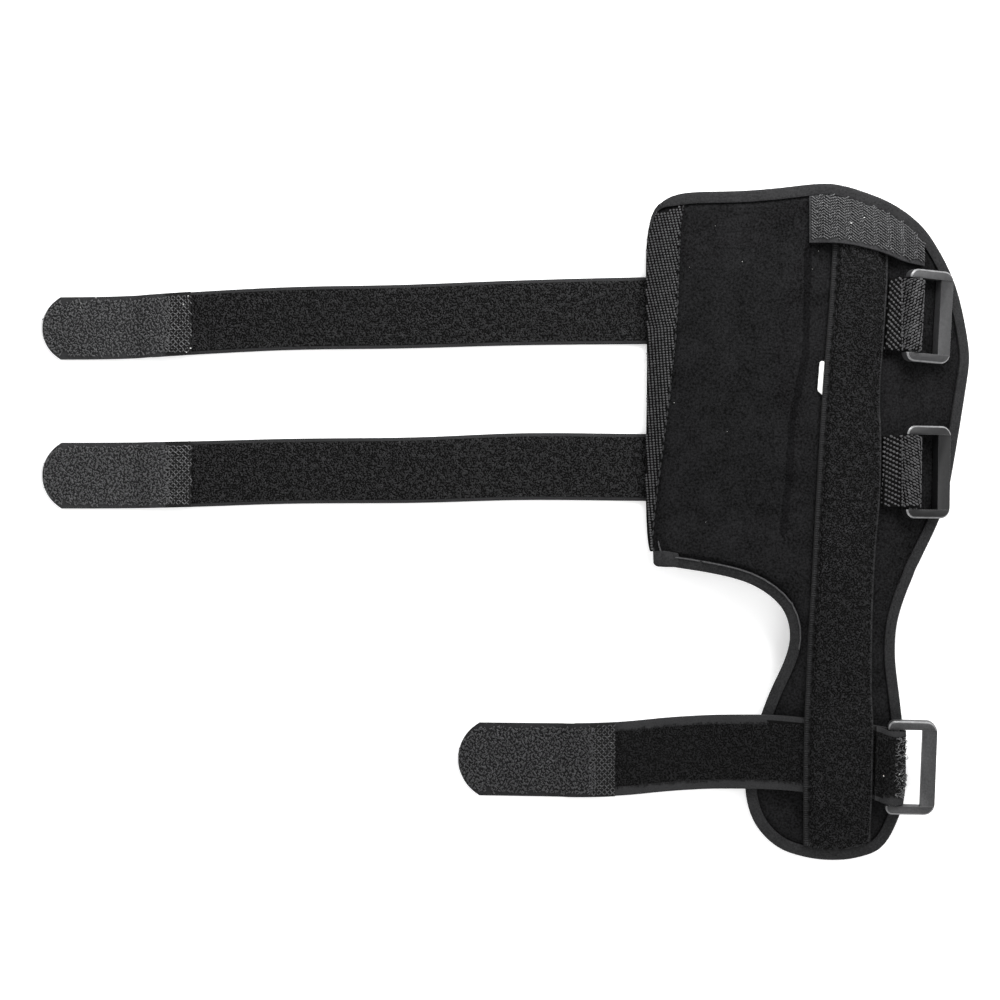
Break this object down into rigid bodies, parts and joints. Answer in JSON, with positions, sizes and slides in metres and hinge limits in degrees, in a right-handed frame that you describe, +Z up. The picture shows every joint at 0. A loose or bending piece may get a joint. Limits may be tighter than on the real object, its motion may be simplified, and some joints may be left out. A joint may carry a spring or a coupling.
{
  "type": "thumb_spica_splint",
  "caption": "Black fabric thumb spica splint lying face up, with a padded wrist and thumb panel, loop straps with hook ends and plastic rings",
  "frame": {"origin": "centre of the bounding box in plan, on the surface that the splint lies on", "axes": "+X from the strap ends to the rings, +Y from the thumb tip to the forearm end, +Z up"},
  "size_m": [0.3148, 0.2288, 0.0213],
  "materials": {
    "laminate": "brushed matt black knit over foam",
    "binding": "smooth folded tape with a slight sheen",
    "webbing": "diagonal twill weave",
    "loop": "deep loop pile",
    "hook": "moulded nylon hooks in rows",
    "label": "plain woven tape, blank",
    "plastic": "satin black moulding"
  },
  "bodies": {
    "root": {"panel": "laminate", "edge_binding": "binding", "edge_tape": "webbing", "stay_pocket": "loop", "pocket_flap": "hook", "label_tab": "label", "upper_strap": "loop", "upper_hook_tab": "hook", "lower_strap": "loop", "lower_hook_tab": "hook", "thumb_strap": "loop", "thumb_hook_tab": "hook", "upper_ring_loop": "webbing", "lower_ring_loop": "webbing"},
    "upper_ring": {"upper_ring": "plastic"},
    "lower_ring": {"lower_ring": "plastic"},
    "thumb_ring": {"thumb_ring": "plastic"}
  },
  "joints": [
    {"name": "upper_ring_hinge", "type": "hinge", "parent": "root", "child": "upper_ring", "pos_m": [0.13666, 0.06988, 0.01708], "axis": [-0.0562, -0.9982, 0.0223], "range_deg": [0, 150]},
    {"name": "lower_ring_hinge", "type": "hinge", "parent": "root", "child": "lower_ring", "pos_m": [0.13608, 0.01736, 0.01703], "axis": [-0.014, -0.9999, -0.006], "range_deg": [0, 150]},
    {"name": "thumb_ring_hinge", "type": "hinge", "parent": "root", "child": "thumb_ring", "pos_m": [0.13042, -0.08192, 0.01146], "axis": [-0.0213, -0.991, -0.1324], "range_deg": [-30, 115]}
  ]
}
